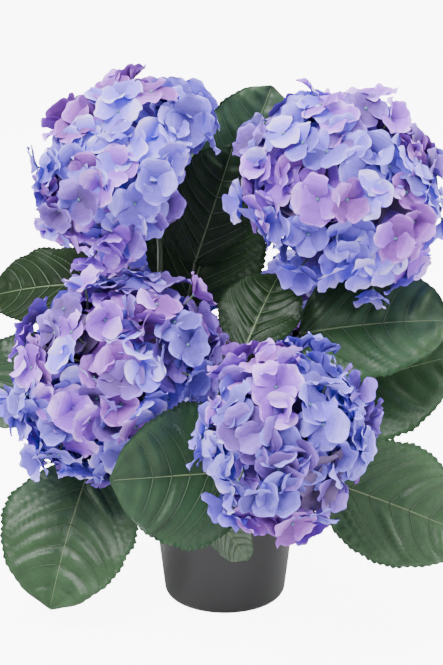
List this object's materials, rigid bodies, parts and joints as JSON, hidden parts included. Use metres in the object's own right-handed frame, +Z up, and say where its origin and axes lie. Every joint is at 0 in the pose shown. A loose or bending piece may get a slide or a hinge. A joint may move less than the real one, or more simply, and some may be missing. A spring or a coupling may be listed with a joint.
{
  "type": "artificial potted hydrangea",
  "caption": "Artificial hydrangea with large rounded blue and lilac flower balls and broad toothed green leaves, standing in a plain dark grey plastic nursery pot.",
  "frame": {"origin": "centre of the pot's flat underside", "axes": "+Z up along the pot's axis, -Y towards the front that the picture shows, +X to its right"},
  "size_m": [0.4212, 0.4335, 0.4592],
  "materials": {
    "pot": "satin",
    "filler": "matte",
    "stem": "satin",
    "leaf": "satin",
    "blue_petal": "matte",
    "lilac_petal": "matte"
  },
  "bodies": {
    "root": {"pot": "pot", "filler": "filler", "main_stem": "stem", "flower_stem_upper_left": "stem", "flower_ball_upper_left": "blue_petal", "flower_stem_upper_right": "stem", "flower_ball_upper_right": "lilac_petal", "flower_stem_middle_left": "stem", "flower_ball_middle_left": "blue_petal", "flower_stem_lower_front": "stem", "flower_ball_lower_front": "lilac_petal", "flower_stem_back_left": "stem", "flower_ball_back_left": "blue_petal", "flower_stem_back_right": "stem", "flower_ball_back_right": "lilac_petal", "leaves_middle": "leaf", "leaves_back_upper": "leaf", "leaves_left_upper": "leaf", "leaves_left_middle": "leaf", "leaves_left_low": "leaf", "leaves_front_upper": "leaf", "leaves_front_middle": "leaf", "leaves_front_low": "leaf", "leaves_right_upper": "leaf", "leaves_right_middle": "leaf", "leaves_right_low": "leaf", "leaves_back_low": "leaf"}
  },
  "joints": []
}
